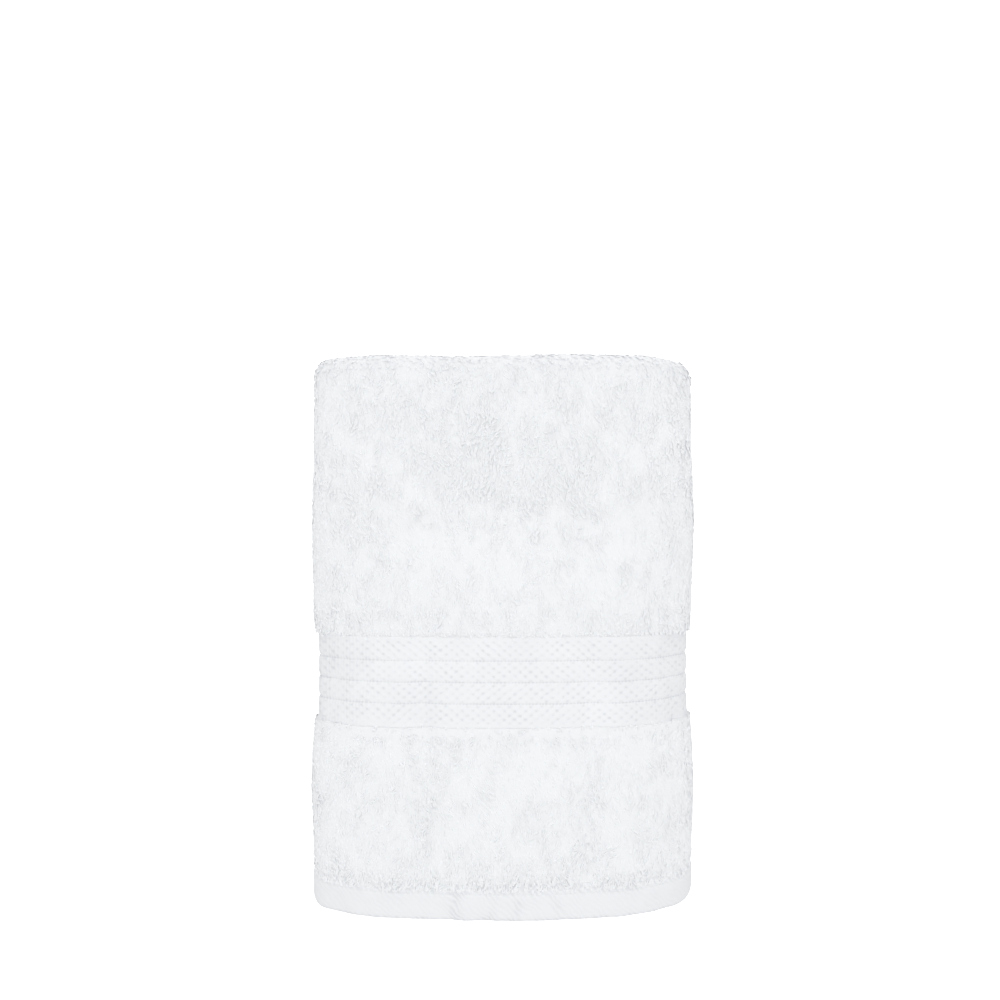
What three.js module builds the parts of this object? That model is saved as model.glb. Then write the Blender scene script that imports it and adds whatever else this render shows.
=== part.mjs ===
// A white cotton terry bath towel, folded for a shelf and stood upright on its hems.
// It is one woven piece with no fittings. Folded in half twice along its length it makes a pack of
// four layers, and folded in thirds across its width the pack wraps around itself. Seen from above
// it is a C: an inner third, a tight bend on the left, the front third, a wide bend on the right
// and a back third. Layer 1 is on the outside all the way round and layer 4 on the inside.
// Millimetres, +Z up, the front towards -Y, the origin on the surface under the middle.
import * as THREE from "three";

// The towel laid flat
const CLOTH_WIDTH = 686; // selvedge to selvedge
const CLOTH_LENGTH = 1372; // hem to hem

// The pack of four layers
const PLY = 4.2; // terry, pile included
const PITCH = 5; // from one layer to the next
const FOOT_FLAT = 0.35; // how much the lower fold is flattened where it stands
const EDGE_STEP = 0.45; // how far a free edge steps back for each millimetre towards layer 1

// The flat woven end of the towel: a turned hem, then a border with rounded ribs
const HEM_HEIGHT = 16;
const HEM_PLY = 3.2;
const STITCH_DEPTH = 0.9; // how deep the hem's seam sinks
const BORDER_FOOT = 117.5;
const RIB_PITCH = 13;
const RIBS = 4;
const RIB_RISE = 1.1;
const RIB_POINTS = [0.15, 0.5, 0.85]; // where a rib has its points, as shares of the pitch
const BORDER_PLY = 2.1; // between the ribs
const BORDER_INSET = 4.1; // from the pile's face down to the grooves between the ribs
const PILE_EDGE = 2; // height over which the pile falls to the border

// The C seen from above, from the inner free edge to the outer one. A bend gives its radius at the
// middle of the pack, any other stretch its length, and turn is in degrees, + to the left.
// The back third takes what is left of the towel's width.
const PLAN = [
  { stretch: "inner edge", length: 62, turn: -7, steps: 2 },
  { stretch: "inner middle", length: 72, turn: -8.5, steps: 2 },
  { stretch: "inner shoulder", length: 42, turn: -10, steps: 2 },
  { stretch: "left bend", radius: 10.2, turn: 167.3, steps: 9 },
  { stretch: "left shoulder", length: 36, turn: 21, steps: 2 },
  { stretch: "front left", length: 76, turn: 5, steps: 4 },
  { stretch: "front right", length: 64, turn: 7, steps: 4 },
  { stretch: "right shoulder", length: 40, turn: 24, steps: 3 },
  { stretch: "right bend", radius: 20.6, turn: 148, steps: 8 },
  { stretch: "back third", turn: 3.4, steps: 6 },
];
const SWELL = 0.1; // how much thicker the pack is in the middle of each third

// Soft hollows and swellings of the front third, by their place on its face
const RELIEF = [
  { form: "left side, upper", along: -126, height: 245, wide: 26, high: 32, rise: 1.2 },
  { form: "right side, upper", along: 132, height: 248, wide: 34, high: 30, rise: 2.2 },
  { form: "left side, lower", along: -126, height: 73, wide: 26, high: 34, rise: 1.5 },
  { form: "right side, lower", along: 132, height: 70, wide: 34, high: 36, rise: 1.7 },
  { form: "hollow under the top", along: -7, height: 300, wide: 52, high: 38, rise: -2.8 },
  { form: "left end of the hollow", along: -54, height: 241, wide: 24, high: 24, rise: -1.5 },
  { form: "right end of the hollow", along: 54, height: 241, wide: 24, high: 24, rise: -1.5 },
  { form: "swelling over the border", along: 2, height: 205, wide: 110, high: 30, rise: 1.6 },
  { form: "lower left hollow", along: -48, height: 72, wide: 12, high: 48, rise: -1.3 },
  { form: "lower right hollow", along: 47, height: 72, wide: 13, high: 48, rise: -1.3 },
  { form: "lower left swelling", along: -76, height: 70, wide: 16, high: 45, rise: 0.9 },
  { form: "lower right swelling", along: 76, height: 70, wide: 18, high: 45, rise: 0.9 },
];

// The upper ridge's unevenness, fading out downwards
const RIDGE = [
  { form: "dip left of the middle", along: -28, wide: 32, rise: -1.6 },
  { form: "dip right of the middle", along: 10, wide: 14, rise: -0.7 },
  { form: "swelling on the right", along: 88, wide: 15, rise: 1 },
];
const RIDGE_REACH = 60;

// How far the corners of the bends pull in at the top and at the foot
const CORNERS = { top: 4.5, foot: 3.5, reach: 50 };

// Worked out from the sizes above
const OUTER = 1.5 * PITCH; // layers 1 and 4 from the middle of the pack
const INNER = 0.5 * PITCH; // layers 2 and 3
const HALF = PLY / 2;
const FOOT = INNER + HALF - FOOT_FLAT; // centre of the lower fold
const FOLDS = Math.PI * (OUTER + 2 * INNER); // cloth in the three folds across the length
const HEIGHT = (CLOTH_LENGTH - FOLDS) / 4 + OUTER + HALF + FOOT / 2;
const CREST = HEIGHT - OUTER - HALF; // centre of the two upper folds
const BORDER_TOP = BORDER_FOOT + RIBS * RIB_PITCH;
const HEM_TOP = HEM_HEIGHT + PILE_EDGE;
const PANEL_MIDDLE = (HEM_TOP + BORDER_FOOT) / 2;
const UNEVEN_HEIGHTS = [205, 245, 290]; // where the relief of the upper panel turns
const FOLD_STEPS = 7;
const CREASE_STEPS = 3; // on the inside of a fold that is nearly closed
const PLAIN_HEIGHTS = [
  FOOT,
  HEM_TOP,
  PANEL_MIDDLE,
  BORDER_FOOT,
  BORDER_TOP,
  ...UNEVEN_HEIGHTS,
  CREST,
];

const radians = THREE.MathUtils.degToRad;
const smooth = (x, from, to) => THREE.MathUtils.smoothstep(x, from, to);

// The arcs of the plan, each starting where the one before it ends
function layPlan() {
  const arcs = PLAN.map(({ stretch, length, radius, turn, steps }) => ({
    stretch,
    length: length ?? (radius ? radius * radians(turn) : 0),
    turn: radians(turn),
    steps,
  }));
  const used = arcs.reduce((sum, arc) => sum + arc.length, 0);
  arcs.at(-1).length = CLOTH_WIDTH - used;
  let at = { x: 0, y: 0, heading: 0 };
  let start = 0;
  for (const arc of arcs) {
    Object.assign(arc, { at, start });
    at = onArc(arc, arc.length);
    start += arc.length;
  }
  return arcs;
}

function onArc(arc, distance) {
  const heading = arc.at.heading + (arc.turn * distance) / arc.length;
  const chord = arc.turn ? arc.length / arc.turn : 0;
  const dx = chord ? chord * (Math.sin(heading) - Math.sin(arc.at.heading)) : distance;
  const dy = chord ? chord * (Math.cos(arc.at.heading) - Math.cos(heading)) : 0;
  return { x: arc.at.x + dx, y: arc.at.y + dy, heading };
}

const arcs = layPlan();
const named = (stretch) => arcs.find((arc) => arc.stretch === stretch);
const FRONT_MIDDLE = named("front right").start;
const centre = named("front right").at;

// The middle of the pack at a distance along the plan, turned so that the front faces -Y
function onPlan(distance) {
  const arc = arcs.findLast((each) => each.start <= distance) ?? arcs[0];
  const { x, y, heading } = onArc(arc, distance - arc.start);
  const cos = Math.cos(-centre.heading);
  const sin = Math.sin(-centre.heading);
  const dx = x - centre.x;
  const dy = y - centre.y;
  return { x: dx * cos - dy * sin, y: dx * sin + dy * cos, heading: heading - centre.heading };
}

// 1 in the middle of a bend, 0 on the flat stretches
function inBend(distance) {
  return Math.max(
    ...["left bend", "right bend"].map((bend) => {
      const { start, length } = named(bend);
      const share = (distance - start) / length;
      return share > 0 && share < 1 ? Math.sin(Math.PI * share) ** 2 : 0;
    }),
  );
}

// 1 in the middle of each third, 0 in the bends and at the free edges
function inThird(distance) {
  const left = named("left bend");
  const right = named("right bend");
  const thirds = [
    [0, left.start],
    [left.start + left.length, right.start],
    [right.start + right.length, CLOTH_WIDTH],
  ];
  for (const [from, to] of thirds) {
    if (distance > from && distance < to) {
      return Math.sin((Math.PI * (distance - from)) / (to - from)) ** 2;
    }
  }
  return 0;
}

function relief(along, height) {
  let rise = 0;
  for (const form of RELIEF) {
    const across = (along - form.along) / form.wide;
    const up = (height - form.height) / form.high;
    rise += form.rise * Math.exp(-across * across - up * up);
  }
  return rise;
}

function ridge(along) {
  return RIDGE.reduce((sum, form) => {
    return sum + form.rise * Math.exp(-(((along - form.along) / form.wide) ** 2));
  }, 0);
}

// A point of the cloth: depth is out from the middle of the pack, height is up, and share runs
// across the towel from one free edge to the other
function place(depth, height, share) {
  const step = EDGE_STEP * depth;
  const distance = step + share * (CLOTH_WIDTH - 2 * step);
  const { x, y, heading } = onPlan(distance);
  const along = distance - FRONT_MIDDLE;
  const out = depth * (1 + SWELL * inThird(distance)) + relief(along, height);
  const bend = inBend(distance);
  const drop = CORNERS.top * bend ** 2 * smooth(height, HEIGHT - CORNERS.reach, HEIGHT);
  const lift = CORNERS.foot * bend * (1 - smooth(height, 0, CORNERS.reach));
  const wave = ridge(along) * smooth(height, HEIGHT - RIDGE_REACH, HEIGHT);
  return [x + out * Math.sin(heading), y - out * Math.cos(heading), height + lift - drop + wave];
}

// One face of a layer as [depth, height] points from the bottom up
function plainFace(depth) {
  return PLAIN_HEIGHTS.map((height) => [depth, height]);
}

// A face of layer 1 or 2, which end in the border and the hem. side is 1 for the face that looks
// out of the pack and -1 for the one that looks in, and border is the depth between the ribs.
function endFace(layer, side, border, ribbed) {
  const hem = layer + (side * HEM_PLY) / 2;
  const pile = layer + side * HALF;
  const points = [
    [hem, 0],
    [hem, HEM_HEIGHT - PILE_EDGE],
    [hem - side * STITCH_DEPTH, HEM_HEIGHT],
    [pile, HEM_TOP],
    [pile, PANEL_MIDDLE],
    [pile, BORDER_FOOT - PILE_EDGE],
  ];
  for (let rib = 0; rib < RIBS && ribbed; rib++) {
    const foot = BORDER_FOOT + rib * RIB_PITCH;
    points.push([border, foot]);
    for (const share of RIB_POINTS) {
      const rise = side * RIB_RISE * Math.sqrt(Math.sin(Math.PI * share));
      points.push([border + rise, foot + share * RIB_PITCH]);
    }
  }
  if (!ribbed) {
    points.push([border, BORDER_FOOT]);
  }
  points.push([border, BORDER_TOP], [pile, BORDER_TOP + PILE_EDGE]);
  return [...points, ...[...UNEVEN_HEIGHTS, CREST].map((height) => [pile, height])];
}

// A fold's half turn of the given radius, from one side of its centre to the other
function fold(depth, height, radius, from, to) {
  const points = [];
  const steps = radius < HALF ? CREASE_STEPS : FOLD_STEPS;
  for (let i = 1; i < steps; i++) {
    const angle = radians(from + ((to - from) * i) / steps);
    const z = height + radius * Math.sin(angle);
    points.push([depth + radius * Math.cos(angle), Math.max(z, 0)]);
  }
  return points;
}

// The closed outline of the four layers, counter-clockwise with depth to the right. It goes up the
// outside of layer 1, down the outside of layer 4, and back between the layers.
function packSection() {
  const border = OUTER + HALF - BORDER_INSET;
  const under = INNER - HALF;
  return [
    ...endFace(OUTER, 1, border, true),
    ...fold(0, CREST, OUTER + HALF, 0, 180),
    ...plainFace(-OUTER - HALF).reverse(),
    ...fold(-PITCH, FOOT, INNER + HALF, 180, 360),
    ...plainFace(-INNER + HALF),
    ...fold(0, CREST, INNER - HALF, 180, 0),
    ...endFace(INNER, -1, under, false).reverse(),
    ...endFace(INNER, 1, under + BORDER_PLY, false),
    ...fold(0, CREST, INNER + HALF, 0, 180),
    ...plainFace(-INNER - HALF).reverse(),
    ...fold(-PITCH, FOOT, INNER - HALF, 360, 180),
    ...plainFace(-OUTER + HALF),
    ...fold(0, CREST, OUTER - HALF, 180, 0),
    ...endFace(OUTER, -1, border - BORDER_PLY, false).reverse(),
  ];
}

// The share of the width at each ring of the sweep, closer together in the bends
function ringShares() {
  const shares = [0];
  for (const { start, length, steps } of arcs) {
    for (let i = 1; i <= steps; i++) {
      shares.push((start + (length * i) / steps) / CLOTH_WIDTH);
    }
  }
  return shares;
}

// The section carried along the plan, closed by a cap at each free edge
function foldedCloth() {
  const section = packSection();
  const shares = ringShares();
  const count = section.length;
  const positions = shares.flatMap((share) => {
    return section.flatMap(([depth, height]) => place(depth, height, share));
  });
  const faces = [];
  for (let ring = 0; ring + 1 < shares.length; ring++) {
    for (let i = 0; i < count; i++) {
      const a = ring * count + i;
      const b = ring * count + ((i + 1) % count);
      faces.push(a, a + count, b, b, a + count, b + count);
    }
  }
  const outline = section.map(([depth, height]) => new THREE.Vector2(depth, height));
  const last = (shares.length - 1) * count;
  for (const [a, b, c] of THREE.ShapeUtils.triangulateShape(outline, [])) {
    faces.push(a, b, c, last + c, last + b, last + a);
  }
  const geometry = new THREE.BufferGeometry();
  geometry.setAttribute("position", new THREE.Float32BufferAttribute(positions, 3));
  geometry.setIndex(faces);
  return geometry;
}

// The middle of the towel's box goes over the origin
function centred(geometry) {
  geometry.computeBoundingBox();
  const middle = geometry.boundingBox.getCenter(new THREE.Vector3());
  geometry.translate(-middle.x, -middle.y, 0);
  geometry.computeVertexNormals();
  return geometry;
}

const terry = new THREE.MeshStandardMaterial({ color: "#f3f4f6", roughness: 0.95, metalness: 0 });
const cloth = new THREE.Mesh(centred(foldedCloth()), terry);
cloth.name = "towel_cloth";

const towel = new THREE.Group();
towel.add(cloth);

export default towel;
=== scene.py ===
import bpy
import numpy as np
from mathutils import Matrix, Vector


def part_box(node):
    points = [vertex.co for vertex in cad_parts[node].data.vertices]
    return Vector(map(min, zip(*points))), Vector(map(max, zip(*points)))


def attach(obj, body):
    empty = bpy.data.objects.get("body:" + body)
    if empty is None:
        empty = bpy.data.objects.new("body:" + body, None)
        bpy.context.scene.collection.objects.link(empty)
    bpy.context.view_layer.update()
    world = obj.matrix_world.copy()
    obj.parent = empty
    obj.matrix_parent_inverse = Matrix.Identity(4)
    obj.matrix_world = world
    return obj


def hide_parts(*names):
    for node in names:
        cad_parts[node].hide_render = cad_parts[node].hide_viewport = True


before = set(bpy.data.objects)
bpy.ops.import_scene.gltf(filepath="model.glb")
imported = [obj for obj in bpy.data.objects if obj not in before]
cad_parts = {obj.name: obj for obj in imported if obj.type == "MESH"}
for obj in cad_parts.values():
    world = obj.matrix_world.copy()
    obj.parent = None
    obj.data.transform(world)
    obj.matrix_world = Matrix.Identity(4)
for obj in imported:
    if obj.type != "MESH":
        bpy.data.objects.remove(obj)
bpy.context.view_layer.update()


# The cloth: one piece of white cotton terry with a flat woven border and a turned hem at each end.
# Folded in half twice along its length it is a pack of four layers, and folded in thirds across its
# width the pack wraps round itself and stands on its hems. Lengths here are in millimetres.
CLOTH_WIDTH = 686  # selvedge to selvedge
CLOTH_LENGTH = 1372  # hem to hem
PITCH = 5  # from one layer to the next
HALF_PLY = 2.1  # half the terry's thickness, pile included
FOOT_FLAT = 0.35  # how much the lower fold is flattened where it stands
EDGE_STEP = 0.45  # how far a free edge steps back for each millimetre towards layer 1
SWELL = 0.1  # how much thicker the pack is in the middle of each third
HEM_HEIGHT = 16
HEM_HALF_PLY = 1.6
BORDER_FOOT = 117.5
BORDER_TOP = 169.5
PILE_EDGE = 2  # height over which the pile falls to the border or the hem
GROUND = 1.6  # from the cloth's middle to the ground that the loops stand on
SELVEDGE = 7  # width over which the cloth thins to a woven edge
SELVEDGE_SHARE = 0.45  # what the edge has of the cloth's thickness

# The pack seen from above, from the inner free edge to the outer one, as a path of arcs. A bend has
# its radius, another stretch its length, and turn is in degrees, + to the left.
PLAN = [
    {"stretch": "inner edge", "length": 62, "turn": -7},
    {"stretch": "inner middle", "length": 72, "turn": -8.5},
    {"stretch": "inner shoulder", "length": 42, "turn": -10},
    {"stretch": "left bend", "radius": 10.2, "turn": 167.3},
    {"stretch": "left shoulder", "length": 36, "turn": 21},
    {"stretch": "front left", "length": 76, "turn": 5},
    {"stretch": "front right", "length": 64, "turn": 7},
    {"stretch": "right shoulder", "length": 40, "turn": 24},
    {"stretch": "right bend", "radius": 20.6, "turn": 148},
    {"stretch": "back third", "length": 0, "turn": 3.4},
]

# The hollows and swellings of the front, by their place on its face: how far along from the middle
# and how high, how wide and how high they spread, and how far they rise
RELIEF = [
    {"form": "left side, upper", "along": -126, "height": 245, "wide": 26, "high": 32, "rise": 1.2},
    {"form": "right side, upper", "along": 132, "height": 248, "wide": 34, "high": 30, "rise": 2.2},
    {"form": "left side, lower", "along": -126, "height": 73, "wide": 26, "high": 34, "rise": 1.5},
    {"form": "right side, lower", "along": 132, "height": 70, "wide": 34, "high": 36, "rise": 1.7},
    {"form": "hollow under the top", "along": -7, "height": 300, "wide": 52, "high": 38, "rise": -2.8},
    {"form": "left end of the hollow", "along": -54, "height": 241, "wide": 24, "high": 24, "rise": -1.5},
    {"form": "right end of the hollow", "along": 54, "height": 241, "wide": 24, "high": 24, "rise": -1.5},
    {"form": "swelling over the border", "along": 2, "height": 205, "wide": 110, "high": 30, "rise": 1.6},
    {"form": "lower left hollow", "along": -48, "height": 72, "wide": 12, "high": 48, "rise": -1.3},
    {"form": "lower right hollow", "along": 47, "height": 72, "wide": 13, "high": 48, "rise": -1.3},
    {"form": "lower left swelling", "along": -76, "height": 70, "wide": 16, "high": 45, "rise": 0.9},
    {"form": "lower right swelling", "along": 76, "height": 70, "wide": 18, "high": 45, "rise": 0.9},
]

# The main creases of the front, as soft ridges and troughs along straight lines on its face, and
# the smaller swellings between them, whose line has no length
CREASES = [
    {"crease": "left fold", "from": (-106, 290), "to": (-57, 244), "wide": 9, "rise": 1.9},
    {"crease": "right fold", "from": (104, 290), "to": (54, 248), "wide": 10, "rise": 1.8},
    {"crease": "second left fold", "from": (-112, 266), "to": (-76, 244), "wide": 7, "rise": 0.9},
    {"crease": "left pit", "from": (-51, 241), "to": (-50, 236), "wide": 6, "rise": -2.0},
    {"crease": "right pit", "from": (50, 241), "to": (51, 238), "wide": 6, "rise": -1.8},
    {"crease": "smile, middle", "from": (-6, 250), "to": (14, 243), "wide": 7, "rise": -1.1},
    {"crease": "smile, right", "from": (34, 247), "to": (48, 240), "wide": 7, "rise": -1.1},
    {"crease": "under the smile", "from": (10, 232), "to": (12, 228), "wide": 6, "rise": -0.8},
    {"crease": "dip in the middle", "from": (-13, 310), "to": (-12, 298), "wide": 7, "rise": -1.2},
    {"crease": "left upright ridge", "from": (-66, 215), "to": (-66, 24), "wide": 8, "rise": 1.3},
    {"crease": "right upright ridge", "from": (66, 215), "to": (66, 24), "wide": 8, "rise": 1.3},
    {"crease": "left upright trough", "from": (-52, 160), "to": (-51, 28), "wide": 6, "rise": -1.7},
    {"crease": "right upright trough", "from": (50, 160), "to": (50, 28), "wide": 6, "rise": -1.6},
    {"crease": "upper left swelling", "from": (-27, 212), "to": (-27, 196), "wide": 13, "rise": 0.9},
    {"crease": "upper right swelling", "from": (20, 214), "to": (20, 192), "wide": 11, "rise": 0.9},
    {"crease": "lower left swelling", "from": (-14, 76), "to": (-12, 58), "wide": 12, "rise": 0.9},
    {"crease": "lower right swelling", "from": (25, 78), "to": (25, 58), "wide": 11, "rise": 0.9},
    {"crease": "hollow over the hem", "from": (-26, 25), "to": (22, 25), "wide": 8, "rise": -0.4},
    {"crease": "first pucker of the hem", "from": (-32, 15), "to": (-34, 0), "wide": 2.6, "rise": -0.6},
    {"crease": "foot of the first pucker", "from": (-37, 1), "to": (-31, 1), "wide": 4, "rise": -0.4},
    {"crease": "second pucker of the hem", "from": (-10, 15), "to": (-13, 0), "wide": 2.6, "rise": -0.5},
    {"crease": "foot of the second pucker", "from": (-19, 0), "to": (-12, 1), "wide": 4, "rise": -0.4},
    {"crease": "third pucker of the hem", "from": (6, 12), "to": (5, 4), "wide": 2.6, "rise": -0.5},
    {"crease": "fourth pucker of the hem", "from": (26, 14), "to": (30, 4), "wide": 2.6, "rise": -0.5},
]

# Where the pile stands open, with darker gaps between its loops, on the front
OPEN_PILE = [
    {"form": "left of the hollow", "along": -32, "height": 290, "wide": 26, "high": 28, "rise": 0.6},
    {"form": "right of the hollow", "along": 26, "height": 290, "wide": 26, "high": 28, "rise": 0.5},
    {"form": "foot of the hollow", "along": 8, "height": 256, "wide": 38, "high": 10, "rise": 0.2},
    {"form": "dip in the middle", "along": -12, "height": 298, "wide": 5, "high": 13, "rise": 0.8},
    {"form": "left end", "along": -52, "height": 268, "wide": 8, "high": 12, "rise": 0.5},
    {"form": "right end", "along": 50, "height": 270, "wide": 8, "high": 12, "rise": 0.4},
    {"form": "over the border", "along": 0, "height": 206, "wide": 90, "high": 26, "rise": -0.4},
    {"form": "under the border", "along": 0, "height": 68, "wide": 110, "high": 42, "rise": -0.25},
    {"form": "left upright", "along": -52, "height": 70, "wide": 7, "high": 44, "rise": 0.7},
    {"form": "right upright", "along": 50, "height": 70, "wide": 7, "high": 44, "rise": 0.7},
    {"form": "left light strip", "along": -67, "height": 110, "wide": 7, "high": 100, "rise": -0.4},
    {"form": "right light strip", "along": 66, "height": 110, "wide": 7, "high": 100, "rise": -0.4},
    {"form": "over the hem", "along": -10, "height": 20, "wide": 60, "high": 5, "rise": 0.7},
    {"form": "by the border's foot", "along": 0, "height": 112, "wide": 120, "high": 6, "rise": 0.9},
    {"form": "by the border's top", "along": 0, "height": 176, "wide": 120, "high": 8, "rise": -0.4},
]

# The unevenness of the upper ridge, and how far down it reaches
RIDGE = [
    {"form": "dip left of the middle", "along": -28, "wide": 32, "rise": -1.6},
    {"form": "dip right of the middle", "along": 10, "wide": 14, "rise": -0.7},
    {"form": "swelling on the right", "along": 88, "wide": 15, "rise": 1},
]
RIDGE_REACH = 60

# How far the cloth drops at the top of a bend and lifts at its foot, and over what height
CORNER_DROP = 5.5
CORNER_LIFT = 3.5
CORNER_REACH = 50

outer_radius = 1.5 * PITCH
inner_radius = 0.5 * PITCH
foot = inner_radius + HALF_PLY - FOOT_FLAT
crest = (CLOTH_LENGTH - np.pi * (outer_radius + 2 * inner_radius)) / 4 + foot / 2
top = crest + outer_radius + HALF_PLY

# The four layers from the hem of layer 1 to the hem of layer 2, as a path of arcs seen from the side
LAYERS = [
    {"stretch": "layer 1", "length": crest, "turn": 0},
    {"stretch": "outer fold", "radius": outer_radius, "turn": 180},
    {"stretch": "layer 4", "length": crest - foot, "turn": 0},
    {"stretch": "lower fold", "radius": inner_radius, "turn": 180},
    {"stretch": "layer 3", "length": crest - foot, "turn": 0},
    {"stretch": "inner fold", "radius": inner_radius, "turn": -180},
    {"stretch": "layer 2", "length": crest, "turn": 0},
]


def lay_path(rows, x, y, heading, whole):
    """A path of arcs as arrays, each starting where the one before it ends: a chord is the length
    times sinc(turn / 2 pi), at the heading plus half the turn. The last row takes what is left."""
    turn = np.radians([row["turn"] for row in rows])
    length = np.array([row.get("length", abs(t) * row.get("radius", 0)) for row, t in zip(rows, turn)])
    length[-1] = whole - length[:-1].sum()
    before = np.append(0, np.cumsum(turn)[:-1]) + heading
    chord = length * np.sinc(turn / 2 / np.pi)
    return {
        "names": [row["stretch"] for row in rows],
        "start": np.append(0, np.cumsum(length)[:-1]),
        "length": length,
        "bend": turn / length,
        "heading": before,
        "x": x + np.append(0, np.cumsum(chord * np.cos(before + turn / 2))[:-1]),
        "y": y + np.append(0, np.cumsum(chord * np.sin(before + turn / 2))[:-1]),
    }


def follow(path, distance):
    """The x, y and heading at each distance along a path, by the chord from its stretch's start."""
    i = np.clip(np.searchsorted(path["start"], distance, side="right") - 1, 0, None)
    beyond = distance - path["start"][i]
    turned = path["bend"][i] * beyond
    chord = beyond * np.sinc(turned / 2 / np.pi)
    x = path["x"][i] + chord * np.cos(path["heading"][i] + turned / 2)
    y = path["y"][i] + chord * np.sin(path["heading"][i] + turned / 2)
    return x, y, path["heading"][i] + turned


layers = lay_path(LAYERS, outer_radius, 0, np.pi / 2, CLOTH_LENGTH)
plan = lay_path(PLAN, 0, 0, 0, CLOTH_WIDTH)

# The plan is turned and moved so that the middle of its front is at the origin and faces forward
middle_row = plan["names"].index("front right")
front_middle = plan["start"][middle_row]
plan = lay_path(PLAN, 0, 0, -plan["heading"][middle_row], CLOTH_WIDTH)
plan["x"] = plan["x"] - plan["x"][middle_row]
plan["y"] = plan["y"] - plan["y"][middle_row]
bends = [plan["names"].index(name) for name in ("left bend", "right bend")]
left_start, right_start = plan["start"][bends]
left_end, right_end = plan["start"][bends] + plan["length"][bends]


def hump(distance, start, end):
    """sin squared from 0 at the start to 1 half way and 0 at the end, and 0 outside."""
    share = (distance - start) / (end - start)
    return np.where((share > 0) & (share < 1), np.sin(np.pi * share) ** 2, 0)


def ease(value, low, high):
    """From 0 at low to 1 at high, by 3 t squared - 2 t cubed."""
    t = np.clip((value - low) / (high - low), 0, 1)
    return t * t * (3 - 2 * t)


def patchy(x, y, wide, high, seed):
    """Smooth random unevenness from -1 to 1, in patches of a given width and height: random values
    at the corners of a grid, blended with t squared (3 - 2 t) between them."""
    cells = 128
    corners = np.random.default_rng(seed).uniform(-1, 1, (cells, cells))
    column = np.floor(x / wide).astype(int)
    row = np.floor(y / high).astype(int)
    rightwards = ease(x / wide - column, 0, 1)
    upwards = ease(y / high - row, 0, 1)
    left, right = column % cells, (column + 1) % cells
    below, above = row % cells, (row + 1) % cells
    lower = corners[left, below] * (1 - rightwards) + corners[right, below] * rightwards
    upper = corners[left, above] * (1 - rightwards) + corners[right, above] * rightwards
    return lower * (1 - upwards) + upper * upwards


def relief(along, height, forms):
    """The sum of the forms of the front, each a rise times exp(-across squared - up squared)."""
    across = (along[..., None] - [row["along"] for row in forms]) / [row["wide"] for row in forms]
    up = (height[..., None] - [row["height"] for row in forms]) / [row["high"] for row in forms]
    return np.exp(-across**2 - up**2) @ [row["rise"] for row in forms]


def creases(along, height):
    """The sum of the creases, each a rise times exp(-distance squared), where the distance is to the
    nearest point of its line, over its width."""
    point = np.stack([along, height], -1)
    rise = np.zeros(along.shape)
    for row in CREASES:
        start, line = np.array(row["from"]), np.array(row["to"]) - row["from"]
        nearest = np.clip((point - start) @ line / max(line @ line, 1e-9), 0, 1)
        apart = np.linalg.norm(point - start - nearest[..., None] * line, axis=-1)
        rise += row["rise"] * np.exp(-((apart / row["wide"]) ** 2))
    return rise


def ridge(along):
    """The sum of the forms of the upper ridge, each a rise times exp(-across squared)."""
    across = (along[..., None] - [row["along"] for row in RIDGE]) / [row["wide"] for row in RIDGE]
    return np.exp(-across**2) @ [row["rise"] for row in RIDGE]


def place(depth, height, share):
    """A point of the pack, share of the way across the towel: the plan's point moved out by depth,
    square to the plan, with the swelling of each third, the relief, the creases, the dropped and
    lifted corners of the bends and the uneven ridge."""
    depth, height, share = np.broadcast_arrays(depth, height, share)
    step = EDGE_STEP * depth
    distance = step + share * (CLOTH_WIDTH - 2 * step)
    x, y, heading = follow(plan, distance)
    along = distance - front_middle
    thirds = ((0, left_start), (left_end, right_start), (right_end, CLOTH_WIDTH))
    swell = sum(hump(distance, start, end) for start, end in thirds)
    out = depth * (1 + SWELL * swell) + relief(along, height, RELIEF) + creases(along, height)
    bend = hump(distance, left_start, left_end) + hump(distance, right_start, right_end)
    drop = CORNER_DROP * bend**2 * ease(height, top - CORNER_REACH, top)
    lift = CORNER_LIFT * bend * (1 - ease(height, 0, CORNER_REACH))
    wave = ridge(along) * ease(height, top - RIDGE_REACH, top)
    return np.stack([x + out * np.sin(heading), y - out * np.cos(heading), height + lift - drop + wave], -1)


# The middle of the outer face's box lies over the middle of the solid's box
low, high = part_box("towel_cloth")
frame_middle = (np.array(low) + np.array(high)) * 1000 / 2
outline = place(outer_radius + HALF_PLY, np.linspace(0, crest, 400)[:, None], np.linspace(0, 1, 1500))
middle = (outline.min((0, 1)) + outline.max((0, 1))) / 2
shift = np.array([frame_middle[0] - middle[0], frame_middle[1] - middle[1], 0])


def on_cloth(up, share, out):
    """A point of the cloth: up is the way along its length from the hem of layer 1, share the way
    across its width, and out the height over its middle, towards the face with the border. The cloth
    thins to a woven edge at each side."""
    depth, height, heading = follow(layers, up)
    edge = np.minimum(share, 1 - share) * CLOTH_WIDTH
    out = out * (SELVEDGE_SHARE + (1 - SELVEDGE_SHARE) * ease(edge, 0.5, SELVEDGE))
    depth = depth + out * np.sin(heading)
    height = np.maximum(height - out * np.cos(heading), 0)
    return place(depth, height, share) + shift


def add_object(name, data):
    """A new object in the scene, at the origin."""
    added = bpy.data.objects.new(name, data)
    bpy.context.scene.collection.objects.link(added)
    return added


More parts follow.
